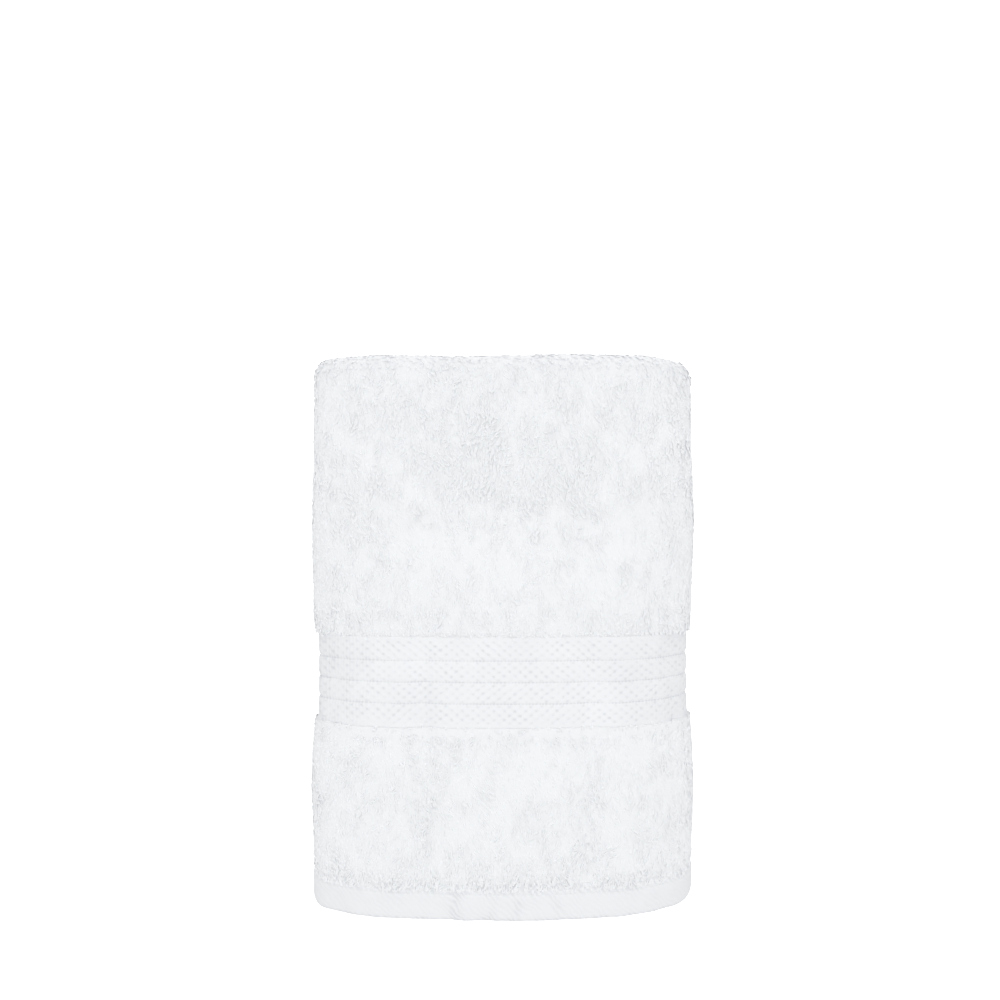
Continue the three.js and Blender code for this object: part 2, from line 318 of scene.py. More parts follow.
def make_mesh(name, points, faces, map_points, materials, chosen=None, smooth=True):
    """Puts points in millimetres, faces of equal sides and one map point for each corner into a new
    mesh object, which stands in metres at the origin. A face has the material that is chosen for it."""
    mesh = bpy.data.meshes.new(name)
    mesh.vertices.add(len(points))
    mesh.vertices.foreach_set("co", (points / 1000).astype(np.float32).ravel())
    mesh.loops.add(faces.size)
    mesh.loops.foreach_set("vertex_index", faces.astype(np.int32).ravel())
    mesh.polygons.add(len(faces))
    mesh.polygons.foreach_set("loop_start", np.arange(0, faces.size, faces.shape[1], dtype=np.int32))
    mesh.polygons.foreach_set("use_smooth", np.full(len(faces), smooth))
    if chosen is not None:
        mesh.polygons.foreach_set("material_index", chosen.astype(np.int32))
    mesh.uv_layers.new(name="UVMap").uv.foreach_set("vector", map_points.astype(np.float32).ravel())
    for material in materials:
        mesh.materials.append(material)
    mesh.update(calc_edges=True)
    mesh.validate()
    return add_object(name, mesh)


def grid_faces(rows, columns):
    """The corners of each square of a grid, row by row, as places in its flattened points."""
    first = np.arange(rows - 1)[:, None] * columns + np.arange(columns - 1)
    return np.stack([first, first + 1, first + columns + 1, first + columns], -1).reshape(-1, 4)


# The map of a swept piece: the strip left for the cap at each end, the level where its front starts,
# the level that its back counts down from, and the level where the ring closes
MAP_EDGE = 0.02
MAP_FOOT = 0.01
MAP_BACK = 0.99
MAP_CLOSE = 0.9905


def swept(points, shares, levels):
    """A closed solid from rings of points: rows run along the sweep, columns round each ring, which
    joins up. On the map the sweep's shares run across and the ring's levels up. A cap closes each end
    and joins the ring's first half to its second half, which have equal counts.
    Returns the points, the faces, their map points and the ring column that each face starts at."""
    rows, columns = points.shape[:2]
    across = MAP_EDGE + (1 - 2 * MAP_EDGE) * shares.ravel()
    corners = grid_faces(rows, columns + 1)[:, ::-1]
    ring, column = np.divmod(corners, columns + 1)
    sides = ring * columns + column % columns
    half = columns // 2
    step = np.arange(half - 1)
    first_cap = np.stack([step + 1, columns - 2 - step, columns - 1 - step, step], -1)
    caps = np.concatenate([first_cap, first_cap[:, ::-1] + (rows - 1) * columns])
    cap_levels = levels[np.minimum(caps % columns, columns - 1 - caps % columns)]
    cap_across = np.where(caps % columns < half, 0.2, 0.8) * MAP_EDGE
    cap_across = cap_across + np.where(caps < columns, 0, 1 - MAP_EDGE)
    side_map = np.stack([across[ring], levels[column]], -1)
    map_points = np.concatenate([side_map, np.stack([cap_across, cap_levels], -1)])
    first = np.concatenate([column.min(1), np.zeros(len(caps))])
    return points.reshape(-1, 3), np.concatenate([sides, caps]), map_points.reshape(-1, 2), first


# How far the cloth's two faces stand from its middle, by the way up from a hem. The pile is a piece of
# its own, so its ground lies lower where it shows. Layer 1 sinks under the border's band.
HEM_END = HEM_HEIGHT - PILE_EDGE
HEM_TOP = HEM_HEIGHT + PILE_EDGE
PILE_END = crest + 60
LAYER_1 = [
    {"up": 0, "front": 1.2, "back": 0.7},
    {"up": 0.6, "front": 1.7, "back": 1.3},
    {"up": 1.4, "front": 2, "back": HEM_HALF_PLY},
    {"up": 2.6, "front": 2.2, "back": HEM_HALF_PLY},
    {"up": HEM_END + 0.8, "front": 2.2, "back": HEM_HALF_PLY},
    {"up": HEM_HEIGHT, "front": 1.75, "back": 0.7},
    {"up": HEM_TOP, "front": 1.2, "back": HALF_PLY},
    {"up": HEM_TOP + 4, "front": 1.3, "back": HALF_PLY},
    {"up": HEM_TOP + 10, "front": GROUND, "back": HALF_PLY},
    {"up": BORDER_FOOT - 20, "front": GROUND, "back": HALF_PLY},
    {"up": BORDER_FOOT - 5, "front": 1, "back": HALF_PLY},
    {"up": BORDER_FOOT - 1.7, "front": 0.75, "back": 3},
    {"up": BORDER_FOOT - 0.8, "front": -2.4, "back": 4.1},
    {"up": BORDER_TOP + 0.8, "front": -2.4, "back": 4.1},
    {"up": BORDER_TOP + 1.7, "front": 0.7, "back": 3},
    {"up": BORDER_TOP + 5, "front": 1, "back": HALF_PLY},
    {"up": BORDER_TOP + 18, "front": GROUND, "back": HALF_PLY},
    {"up": PILE_END - 8, "front": GROUND, "back": HALF_PLY},
    {"up": PILE_END, "front": HALF_PLY, "back": HALF_PLY},
]
LAYER_2 = [
    {"down": BORDER_TOP + PILE_EDGE, "front": HALF_PLY, "back": HALF_PLY},
    {"down": BORDER_TOP, "front": HALF_PLY, "back": 0},
    {"down": BORDER_FOOT, "front": HALF_PLY, "back": 0},
    {"down": BORDER_FOOT - PILE_EDGE, "front": HALF_PLY, "back": HALF_PLY},
    {"down": HEM_TOP, "front": HALF_PLY, "back": HALF_PLY},
    {"down": HEM_HEIGHT, "front": 0.7, "back": 0.7},
    {"down": HEM_END, "front": HEM_HALF_PLY, "back": HEM_HALF_PLY},
    {"down": 1.4, "front": HEM_HALF_PLY, "back": HEM_HALF_PLY},
    {"down": 0, "front": 0.7, "back": 0.7},
]
levels_up = np.array([row["up"] for row in LAYER_1] + [CLOTH_LENGTH - row["down"] for row in LAYER_2])
front_out = np.array([row["front"] for row in LAYER_1 + LAYER_2])
back_out = np.array([row["back"] for row in LAYER_1 + LAYER_2])

# The mesh's rows up the cloth: close in the hem, up the face that shows and round the folds, and
# wide apart in the layers between
HEM_ROWS = 2.5
FACE_ROWS = 4.2
HIDDEN_ROWS = 18.0
folds = [layers["names"].index(name) for name in ("lower fold", "inner fold")]
fold_starts, fold_lengths = layers["start"][folds], layers["length"][folds]
ups = [
    levels_up,
    np.arange(0, HEM_TOP, HEM_ROWS),
    np.arange(HEM_TOP, crest, FACE_ROWS),
    np.linspace(crest, crest + np.pi * outer_radius, 12),
    np.arange(crest + 30, CLOTH_LENGTH, HIDDEN_ROWS),
    np.linspace(fold_starts, fold_starts + fold_lengths, 9).ravel(),
]
ups = np.unique(np.concatenate(ups).round(3))


def across_rings(inner, front, bend, back):
    """Shares of the width for the rings of a sweep, with a spacing in millimetres for the inner
    third, the front, the bends and the back. The left bend is the tighter one and has half the
    bends' spacing."""
    stretches = (
        (0, left_start, inner),
        (left_start, left_end, bend / 2),
        (left_end, right_start, front),
        (right_start, right_end, bend),
        (right_end, CLOTH_WIDTH, back),
    )
    parts = [
        np.linspace(start, end, int((end - start) / spacing) + 1, endpoint=False)
        for start, end, spacing in stretches
    ]
    return np.append(np.concatenate(parts), CLOTH_WIDTH) / CLOTH_WIDTH


def new_node(nodes, kind, **settings):
    """A new shader node of a kind, with each input that is named set to its value."""
    node = nodes.new("ShaderNode" + kind)
    for name, value in settings.items():
        node.inputs[name.replace("_", " ")].default_value = value
    return node


def cotton(name, tones, roughness, sheen):
    """White cotton: a pale and a deep tone, mottled by noise in the Object coordinates, and the finish
    of matt fibres. Returns the material, its nodes, its links and its shader."""
    material = bpy.data.materials.new(name)
    material.use_nodes = True
    nodes, links = material.node_tree.nodes, material.node_tree.links
    shader = nodes["Principled BSDF"]
    shader.inputs["Roughness"].default_value = roughness
    shader.inputs["Sheen Weight"].default_value = sheen
    shader.inputs["Sheen Roughness"].default_value = 0.6
    shader.inputs["Specular IOR Level"].default_value = 0.2
    place_in = new_node(nodes, "TexCoord")
    mottle = new_node(nodes, "TexNoise", Scale=220, Detail=3)
    mixed = new_node(nodes, "Mix")
    mixed.data_type = "RGBA"
    pale, deep = tones
    mixed.inputs["A"].default_value = (*deep, 1)
    mixed.inputs["B"].default_value = (*pale, 1)
    links.new(place_in.outputs["Object"], mottle.inputs["Vector"])
    links.new(mottle.outputs["Fac"], mixed.inputs["Factor"])
    links.new(mixed.outputs["Result"], shader.inputs["Base Color"])
    return material, nodes, links, shader


def add_bump(nodes, links, shader, source, distance, strength):
    """Raises the finish by a node's output, over a distance in millimetres."""
    bump = new_node(nodes, "Bump", Distance=distance / 1000, Strength=strength)
    links.new(source, bump.inputs["Height"])
    links.new(bump.outputs["Normal"], shader.inputs["Normal"])


def fibre_cotton(name, tones, size, distance):
    """Cotton with a fine nap of fibres, as noise in the Object coordinates of a size in millimetres."""
    material, nodes, links, shader = cotton(name, tones, 0.95, 0.12)
    place_in = new_node(nodes, "TexCoord")
    fibres = new_node(nodes, "TexNoise", Scale=1000 / size, Detail=4)
    links.new(place_in.outputs["Object"], fibres.inputs["Vector"])
    add_bump(nodes, links, shader, fibres.outputs["Fac"], distance, 0.7)
    return material


def joined(nodes, links, kind, *terms):
    """The output of a new math node of a kind, whose terms are numbers or other nodes' outputs."""
    node = new_node(nodes, "Math")
    node.operation = kind
    for socket, term in zip(node.inputs, terms):
        if isinstance(term, (int, float)):
            socket.default_value = term
        else:
            links.new(term, socket)
    return node.outputs["Value"]


def patches(nodes, links, position, size, least):
    """Noise in patches of a size in millimetres, as its colour and as a number from least to 1."""
    noise = new_node(nodes, "TexNoise", Scale=1000 / size, Detail=2)
    share = new_node(nodes, "MapRange", From_Min=0.36, From_Max=0.64, To_Min=least)
    links.new(position, noise.inputs["Vector"])
    links.new(noise.outputs["Fac"], share.inputs["Value"])
    return noise.outputs["Color"], share.outputs["Result"]


LINE_PITCH = 2.0  # from one line of yarn to the next


def woven_cotton(name, tones, map_size):
    """Flat woven cotton on the piece's own map, which measures map_size millimetres: slanting lines of
    yarn, bent by noise, with painted shade between them, in patches, as strong as the piece's painted shade
    attribute says."""
    material, nodes, links, shader = cotton(name, tones, 0.85, 0.1)
    place_in = new_node(nodes, "TexCoord")
    lay = new_node(nodes, "Mapping", Scale=(*map_size, 1))
    line_scale = np.pi / 10 / LINE_PITCH
    lines = new_node(nodes, "TexWave", Scale=line_scale, Distortion=10, Detail=3, Detail_Scale=0.6)
    lines.bands_direction = "DIAGONAL"
    links.new(place_in.outputs["UV"], lay.inputs["Vector"])
    links.new(lay.outputs["Vector"], lines.inputs["Vector"])
    hem_shade = new_node(nodes, "Attribute")
    hem_shade.attribute_name = "hem_shade"
    shown = patches(nodes, links, place_in.outputs["Object"], 10, 0.3)[1]
    shown = joined(nodes, links, "MULTIPLY", shown, hem_shade.outputs["Fac"])
    between = joined(nodes, links, "SUBTRACT", 1.1, lines.outputs["Fac"])
    depth = joined(nodes, links, "MULTIPLY", shown, between)
    height = joined(nodes, links, "SUBTRACT", 1.0, depth)
    # The deep tone is painted shade: between the lines of yarn, in the creases, along the foot and under the
    # pile's edge at the seam
    links.new(height, shader.inputs["Base Color"].links[0].from_node.inputs["Factor"])
    add_bump(nodes, links, shader, height, 0.2, 0.8)
    return material


# The tones, pale and deep. In the weave of the hem and the border the deep tone is painted shade
YARN_TONES = ((0.898, 0.911, 0.927), (0.878, 0.891, 0.909))
WEAVE_TONES = ((0.87, 0.883, 0.902), (0.74, 0.753, 0.775))
HEM_TONES = ((0.842, 0.855, 0.874), (0.75, 0.763, 0.785))
HEM_PUCKER = 0.35
GROUND_WAVE = 0.06
OPEN_DEPTH = 0.35
FRONT_MAP = 0.6  # the map's level at the pile's end
LENGTH_MAP = 0.79  # and at the cloth's end

# The hem's cloth is drawn in small soft puckers by its seam, and the pile's ground is a little uneven
# and lies deeper where the pile stands open
shares = across_rings(inner=14, front=2.6, bend=2.4, back=4.5)[:, None]
distances = shares * CLOTH_WIDTH
fronts = np.interp(ups, levels_up, front_out) + np.zeros_like(shares)
backs = np.interp(ups, levels_up, back_out) + np.zeros_like(shares)
hem_part = 1 - ease(ups, HEM_END, HEM_HEIGHT)
fronts = fronts + HEM_PUCKER * hem_part * patchy(distances + 0.3 * ups, ups, 7, 40, 1)
napped = ease(ups, HEM_TOP, HEM_TOP + 4) * (1 - ease(ups, BORDER_FOOT - 6, BORDER_FOOT - 2))
napped = napped + ease(ups, BORDER_TOP + 2, BORDER_TOP + 6) * (1 - ease(ups, PILE_END - 10, PILE_END - 4))
along, height = np.broadcast_arrays(distances - front_middle, ups)
opened = np.clip(relief(along, height, OPEN_PILE), -0.5, 1.5)
fronts = fronts + napped * (GROUND_WAVE * patchy(distances, ups, 12, 16, 2) - OPEN_DEPTH * opened)
levels = np.interp(ups, [0, PILE_END, CLOTH_LENGTH], [MAP_FOOT, FRONT_MAP, LENGTH_MAP])
ring_levels = np.concatenate([levels, MAP_BACK - levels[::-1] / 4, [MAP_CLOSE]])
ring_ups = np.concatenate([ups, ups[::-1]])
ring_outs = np.concatenate([fronts, -backs[:, ::-1]], 1)
points, faces, map_points, first = swept(on_cloth(ring_ups, shares, ring_outs), shares, ring_levels)
rows_up = np.searchsorted(ups, HEM_TOP + 3)
on_hem = (first < rows_up) | (first >= 2 * len(ups) - rows_up)
map_size = (CLOTH_WIDTH / (1 - 2 * MAP_EDGE), PILE_END / (FRONT_MAP - MAP_FOOT))
cloth = make_mesh(
    "folded_cloth",
    points,
    faces,
    map_points,
    [
        fibre_cotton("terry ground", YARN_TONES, 0.8, 0.5),
        woven_cotton("hem cloth", HEM_TONES, map_size),
    ],
    on_hem,
)

# Painted shade on the hem, as an amount: a little all over, more in its creases, and most along its
# folded foot, where it stands on the table, and at its seam, under the lower edge of the pile
hem_shade = 0.25 + np.clip(-1.5 * creases(along, height), 0, 1) + 1.4 * ease(ups, 2.4, 0.4)
hem_shade = hem_shade + 1.2 * hump(ups, HEM_HEIGHT - 2, HEM_TOP + 6)
hem_shade = np.concatenate([hem_shade, hem_shade[:, ::-1]], 1)
hem_shade_in = cloth.data.attributes.new("hem_shade", "FLOAT", "POINT")
hem_shade_in.data.foreach_set("value", hem_shade.astype(np.float32).ravel())
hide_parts("towel_cloth")
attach(cloth, "root")


# The border: a band of the same cotton, woven flat across the end of the towel without loops, in four
# rounded ribs. The yarn floats over the ribs in staggered rows, which stand up from the weave, and
# sinks into a fine line between two ribs. A plain strip edges the band above and below.
RIBS = 4
RIB_PITCH = (BORDER_TOP - BORDER_FOOT) / RIBS
RIB_RISE = 0.6
GROOVE_OUT = -1.6  # from the cloth's middle to the grooves, where the band is drawn tight
BAND_BACK = -2.8  # from the cloth's middle to the band's hidden back
FRONT_RISE = 1.9  # how much further out the band lies on the front and the back
FLOAT_PITCH = 6.4  # from one float to the next across the cloth
FLOAT_ROWS = 5.2  # and up it
FLOAT_RISE = 0.15
SLANTS = np.array([-0.08, -0.03, 0.03, 0.08])  # how much more the floats of each rib slant one way
PICK_PITCH = 2.1  # from one yarn that crosses a groove to the next
PIT_DEPTH = 0.18
STRIP = 1.8  # the plain strip's height
STRIP_DROP = 0.25
RIB_EDGE = 2.4  # height over which the floats fade out beside a strip
TIGHT_BEFORE, TIGHT_WITHIN = 15, 5  # where the band is drawn tight, before a bend and within it
LEFT_SIDE, RIGHT_SIDE = 50, 45  # how far from the bends painted shade darkens the grooves


def band_out(up, distance):
    """How far the band's face stands from the cloth's middle, and its weave as three numbers: how much
    of the floats slants one way, how much painted shade the grooves take, most near a groove, and 1 on
    the ribs alone. The ribs rise as 1 - (1 - sine) cubed, flat on top and steep at the sides. The floats
    are two sets of slanting waves, whose shares change from rib to rib and along it, and the strips bend
    in at their edges. At the bends the band is pulled tight, with grooves twice as deep, and painted
    shade darkens the grooves towards them."""
    rib = (up - BORDER_FOOT) / RIB_PITCH + 0 * distance
    within = np.abs(np.sin(np.pi * np.clip(rib, 0.5, RIBS - 0.5)))
    across, rows = distance / FLOAT_PITCH, (up - BORDER_FOOT) / FLOAT_ROWS
    slant = SLANTS[np.clip(rib, 0, RIBS - 1).astype(int)]
    lean = 0.5 + slant + 0.16 * patchy(distance, 40 * np.floor(rib), 14, 40, 3)
    floats = lean * np.cos(2 * np.pi * (across + rows)) + (1 - lean) * np.cos(2 * np.pi * (across - rows))
    beyond = np.clip(np.maximum(BORDER_FOOT - up, up - BORDER_TOP), 0, STRIP) / STRIP + 0 * distance
    on_ribs = ease(np.minimum(up - BORDER_FOOT, BORDER_TOP - up), 0, RIB_EDGE) * within**0.4
    tight = ease(distance, left_end + TIGHT_BEFORE, left_end - TIGHT_WITHIN)
    tight = tight + ease(distance, right_start - TIGHT_BEFORE, right_start + TIGHT_WITHIN)
    # Painted shade on the grooves, growing towards the bends
    aside = ease(distance, left_end + LEFT_SIDE, left_end)
    aside = aside + 0.6 * ease(distance, right_start - RIGHT_SIDE, right_start)
    out = GROOVE_OUT + RIB_RISE * (1 - (1 + tight) * (1 - within) ** 3) + FLOAT_RISE * floats * on_ribs
    out = out + FRONT_RISE * (1 - tight) - STRIP_DROP * beyond**4
    apart = abs(np.clip(rib, 0.5, RIBS - 0.5) - np.round(rib)) * RIB_PITCH
    groove = ease(apart, 0.5, 0.1) + 0.1 * ease(apart, 3, 0) + 0.3 * aside
    return out, np.stack([lean, groove, on_ribs], -1)


def rib_cotton(name, tones, map_size, foot_level):
    """Cotton woven in floats on the piece's own map, which measures map_size millimetres. The pits
    between the floats are ((1 - floats) / 2) to the fourth, the grooves are dotted by the yarns that
    cross them, and both lie deeper and take painted shade, in patches, with the rows pulled a little awry.
    The piece's attribute weave has band_out's three numbers. The ribs start at the map's foot_level."""
    material, nodes, links, shader = cotton(name, tones, 0.85, 0.1)

    def combine(kind, *terms):
        """joined, in this material."""
        return joined(nodes, links, kind, *terms)

    place_in = new_node(nodes, "TexCoord")
    turn = 2 * np.pi / np.array([FLOAT_PITCH, FLOAT_ROWS])
    first_float = -np.array([MAP_EDGE, foot_level]) * map_size * turn
    lay = new_node(nodes, "Mapping", Scale=(*(map_size * turn), 1), Location=(*first_float, 0))
    ways = new_node(nodes, "SeparateXYZ")
    weave = new_node(nodes, "Attribute")
    weave.attribute_name = "weave"
    shares = new_node(nodes, "SeparateXYZ")
    pull, shown = patches(nodes, links, place_in.outputs["Object"], 9, 0.2)
    broad = patches(nodes, links, place_in.outputs["Object"], 34, 0)[1]
    pulled = new_node(nodes, "VectorMath")
    pulled.operation = "MULTIPLY_ADD"
    pulled.inputs[1].default_value = (3.5, 3.5, 0)
    links.new(place_in.outputs["UV"], lay.inputs["Vector"])
    links.new(pull, pulled.inputs[0])
    links.new(lay.outputs["Vector"], pulled.inputs[2])
    links.new(pulled.outputs["Vector"], ways.inputs["Vector"])
    links.new(weave.outputs["Vector"], shares.inputs["Vector"])
    across, rows = ways.outputs["X"], ways.outputs["Y"]
    lean, groove, on_ribs = shares.outputs["X"], shares.outputs["Y"], shares.outputs["Z"]
    one_way = combine("COSINE", combine("ADD", across, rows))
    other_way = combine("COSINE", combine("SUBTRACT", across, rows))
    floats = combine("MULTIPLY_ADD", combine("SUBTRACT", one_way, other_way), lean, other_way)
    pits = combine("POWER", combine("MULTIPLY_ADD", floats, -0.5, 0.5), 4.0)
    picks = combine("COSINE", combine("MULTIPLY", across, FLOAT_PITCH / PICK_PITCH))
    dots = combine("MULTIPLY_ADD", picks, 0.5, 0.7)
    depth = combine("MULTIPLY_ADD", pits, on_ribs, combine("MULTIPLY", groove, dots))
    shown = combine("MULTIPLY_ADD", shown, 1.1, 0.1)
    depth = combine("MULTIPLY_ADD", depth, shown, combine("MULTIPLY", broad, 0.2))
    height = combine("SUBTRACT", 1.0, depth)
    # The deep tone is painted shade in the pits and the grooves, more towards the bends
    links.new(height, shader.inputs["Base Color"].links[0].from_node.inputs["Factor"])
    add_bump(nodes, links, shader, height, PIT_DEPTH, 0.8)
    return material


BAND_MAP = 0.89  # the share of the map's height that the band's face has

# Even rows up the band, with more of them beside each groove
beside_grooves = BORDER_FOOT + RIB_PITCH * np.arange(1, RIBS)[:, None] + [-0.55, -0.25, 0.25, 0.55]
band_ups = np.linspace(BORDER_FOOT - STRIP, BORDER_TOP + STRIP, 65)
band_ups = np.unique(np.append(band_ups, beside_grooves).round(3))
band_shares = across_rings(inner=8, front=1.0, bend=1.0, back=2.0)[:, None]
band_rise, band_weave = band_out(band_ups, band_shares * CLOTH_WIDTH)
band_front = on_cloth(band_ups, band_shares, band_rise)
band_back = on_cloth(band_ups[::-1], band_shares, BAND_BACK)
band_height = BORDER_TOP - BORDER_FOOT + 2 * STRIP
band_size = np.array([CLOTH_WIDTH / (1 - 2 * MAP_EDGE), band_height / BAND_MAP])
foot_level = MAP_FOOT + STRIP / band_size[1]
band_levels = MAP_FOOT + (band_ups - band_ups[0]) / band_size[1]
band_levels = np.concatenate([band_levels, MAP_BACK - band_levels[::-1] / 12, [MAP_CLOSE]])
border = make_mesh(
    "woven_border",
    *swept(np.concatenate([band_front, band_back], 1), band_shares, band_levels)[:3],
    [rib_cotton("border cotton", WEAVE_TONES, band_size, foot_level)],
)
band_weave = np.concatenate([band_weave, band_weave[:, ::-1]], 1)
weave = border.data.attributes.new("weave", "FLOAT_VECTOR", "POINT")
weave.data.foreach_set("vector", band_weave.astype(np.float32).ravel())
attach(border, "root")


# The pile: loops of soft, little twisted cotton yarn, woven into the ground, that stand out of it and
# lie over each other, mostly downwards. They are strands with two legs side by side, in one piece for
# each panel of the towel that shows and one over the upper fold.
LOOP_POINTS = np.array([0, 0.2, 0.4, 0.6, 0.8, 1])
LOOP_LEAN = 4.6  # how far a loop lies along the cloth
LOOP_HALF = 0.75  # half the way from one of its legs to the other
LOOP_SUNK = 0.25  # how deep its feet are in the ground
YARN = 0.52
YARN_SHARES = np.array([0.8, 1, 1, 0.8])  # how thick it is at each point between a loop's tips
YARN_WIDE = 1.35  # how much wider and flatter than round it lies
YARN_FLAT = 0.5
LOOP_SPACING = 2.45
BACK_SPACING = 2.65
TOP_REACH = 8  # how far the pile over the upper fold reaches down the front
UPWARD_REACH = 3.4  # how far below the border some loops lie upwards
BEND_REACH = 10  # how far beside a bend the loops are shorter
BARE_EDGE = 6  # how far from the selvedges the loops end


def strands(paths, thick, outwards, roll, sides):
    """Closed strands along many paths at once. A path's first and last points are its tips, and round
    each other point lies a ring, thick * (wide * cos a * one + flat * sin a * other), square to the
    path, with a ridge turned outwards, and rolled by an angle. Two triangles lie on each side of each
    stretch of a strand, and one of the two where the stretch ends in a tip.
    Returns the points, triangles and map points, with one cell of the map for each strand."""
    ahead = paths[:, 2:] - paths[:, :-2]
    one = np.cross(ahead, outwards[:, None])
    one /= np.linalg.norm(one, axis=-1, keepdims=True)
    other = np.cross(ahead, one)
    other /= np.linalg.norm(other, axis=-1, keepdims=True)
    angle = (2 * np.pi * np.arange(sides) / sides + 1.5 * np.pi + roll[:, None])[:, None, :, None]
    spokes = YARN_WIDE * np.cos(angle) * one[:, :, None] + YARN_FLAT * np.sin(angle) * other[:, :, None]
    rings = paths[:, 1:-1, None] + thick[:, :, None, None] * spokes
    count, levels = rings.shape[:2]
    points = np.concatenate([paths[:, :1], rings.reshape(count, -1, 3), paths[:, -1:]], 1)
    stretch, upper, side, corner = np.indices((levels + 1, 2, sides, 3)).reshape(4, -1, 3)
    kept = np.where(upper[:, 0] == 0, stretch[:, 0] < levels, stretch[:, 0] > 0)
    stretch, upper, side, corner = stretch[kept], upper[kept], side[kept], corner[kept]
    level = stretch + np.array([[0, 1, 1], [0, 1, 0]])[upper, corner]
    column = side + np.array([[0, 0, 1], [0, 1, 1]])[upper, corner]
    faces = np.clip(1 + (level - 1) * sides + column % sides, 0, 1 + levels * sides)[:, ::-1]
    marks = np.stack([column, level], -1)[:, ::-1] / [sides, levels + 1]
    cells = int(np.ceil(np.sqrt(count)))
    cell = np.stack(np.divmod(np.arange(count), cells), -1)[:, None, None]
    map_points = (cell + 0.06 + 0.88 * marks) / cells
    triangles = np.arange(count)[:, None, None] * points.shape[1] + faces
    return points.reshape(-1, 3), triangles.reshape(-1, 3), map_points.reshape(-1, 2)


def frame_at(up, share, out):
    """The point of the cloth and the directions across it, up it and out of it, from small steps."""
    here = on_cloth(up, share, out)
    across = on_cloth(up, share + 0.0004, out) - on_cloth(up, share - 0.0004, out)
    along = on_cloth(up + 0.3, share, out) - on_cloth(up - 0.3, share, out)
    across /= np.linalg.norm(across, axis=-1, keepdims=True)
    along /= np.linalg.norm(along, axis=-1, keepdims=True)
    return here, across, along, np.cross(across, along)


def set_out(here, *moves):
    """Paths from points, by the distances of a path's points along one direction after another."""
    return sum((distance[..., None] * direction[:, None] for distance, direction in moves), here[:, None])


def loop_paths(here, sideways, upwards, outwards, angle, lean, rise, half, twist):
    """The path of each loop, for t from 0 at one foot to 1 at the other: lean * sin(pi t) along the
    cloth, at an angle from straight down, half * cos(pi t) aside, and rise * sin(3/4 pi sin(pi t)) out
    of it, which drops again at the tip. The twist lifts one leg over the other."""
    swing = np.sin(np.pi * LOOP_POINTS)
    along = lean[:, None] * swing
    out = rise[:, None] * np.sin(0.75 * np.pi * swing) - LOOP_SUNK
    legs = -half[:, None] * np.cos(np.pi * LOOP_POINTS)
    out = out + legs * np.sin(twist)[:, None] * swing * 0.5
    legs = legs * np.cos(twist * 0.5)[:, None]
    down = -np.cos(angle)[:, None] * upwards + np.sin(angle)[:, None] * sideways
    beside = np.cross(outwards, down)
    return set_out(here, (along, down), (legs, beside), (out, outwards))


yarn = fibre_cotton("terry yarn", YARN_TONES, 0.35, 0.2)


def pile(name, start, end, lowest, highest, seed, spacing, ends=()):
    """Loops over part of the cloth, from one distance across it to another and between two heights.
    Each leans by its own angle and follows its patch of the pile. Beside the ends of the pile, at the
    border and the hem, over the bends and at the top they are shorter, and some beside the border's
    foot lie upwards."""
    chance = np.random.default_rng(seed)
    # The outer face is longer than the cloth's middle round the bends, so columns are counted along it
    face = np.linspace(start, end, 2000)
    face_length = face + (outer_radius + HALF_PLY) * follow(plan, face)[2]
    columns = np.arange(face_length[0], face_length[-1], spacing)
    rows = np.arange(lowest, highest, spacing)
    across, up = np.meshgrid(columns, rows)
    across = across + spacing / 2 * (np.arange(len(rows)) % 2)[:, None]
    across, up = across.ravel(), up.ravel()
    count = len(up)
    across = across + chance.uniform(-0.4, 0.4, count) * spacing
    up = up + chance.uniform(-0.4, 0.4, count) * spacing
    share = np.interp(across, face_length, face) / CLOTH_WIDTH
    fall = np.cos(np.clip((up - crest) / outer_radius, 0, np.pi))
    clump = patchy(across, up, 3.6, 9, 5)
    place_along = share * CLOTH_WIDTH - front_middle
    opened = relief(place_along, up, OPEN_PILE) - 0.45 * creases(place_along, up)
    opened = np.clip(opened + 0.33 * patchy(across, up, 5, 6, 7), -0.5, 1.5)
    root = np.interp(up, levels_up, front_out) - 0.3 * opened + 0.24 * clump
    here, sideways, upwards, outwards = frame_at(up, share, root)
    swirl = patchy(across, up, 9, 14, 6)
    angle = 0.75 * swirl + chance.normal(0, 0.35, count) + np.pi / 2 * (1 - fall)
    by_border = (up > max(ends, default=np.inf) - UPWARD_REACH) & (highest < BORDER_TOP)
    angle = angle + np.pi * ((chance.random(count) < 0.6) & by_border)
    edge = ease(np.min([abs(up - end) for end in (*ends, -np.inf)], 0), -1, 5)
    bent = hump(share * CLOTH_WIDTH, left_start - BEND_REACH, left_end + BEND_REACH)
    bent = bent + hump(share * CLOTH_WIDTH, right_start - BEND_REACH, right_end + BEND_REACH)
    edge = edge * (1 - 0.7 * np.maximum(ease(up, crest - 6, crest + 5), bent))
    lean = LOOP_LEAN * chance.uniform(0.75, 1.25, count) * (1 + 0.15 * clump) * (0.45 + 0.55 * edge)
    rise = (0.55 + 0.45 * opened) * (0.5 + 0.5 * edge) * chance.uniform(0.8, 1.2, count) * (1 + 0.15 * clump)
    half = LOOP_HALF * chance.uniform(0.7, 1.3, count)
    twist = chance.uniform(-1.2, 1.2, count)
    paths = loop_paths(here, sideways, upwards, outwards, angle, lean, rise, half, twist)
    thick = YARN * chance.uniform(0.85, 1.2, count)[:, None] * YARN_SHARES
    roll = chance.normal(0, 0.2, count)
    piece = make_mesh(name, *strands(paths, thick, outwards, roll, 3), [yarn], smooth=False)
    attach(piece, "root")
    return piece


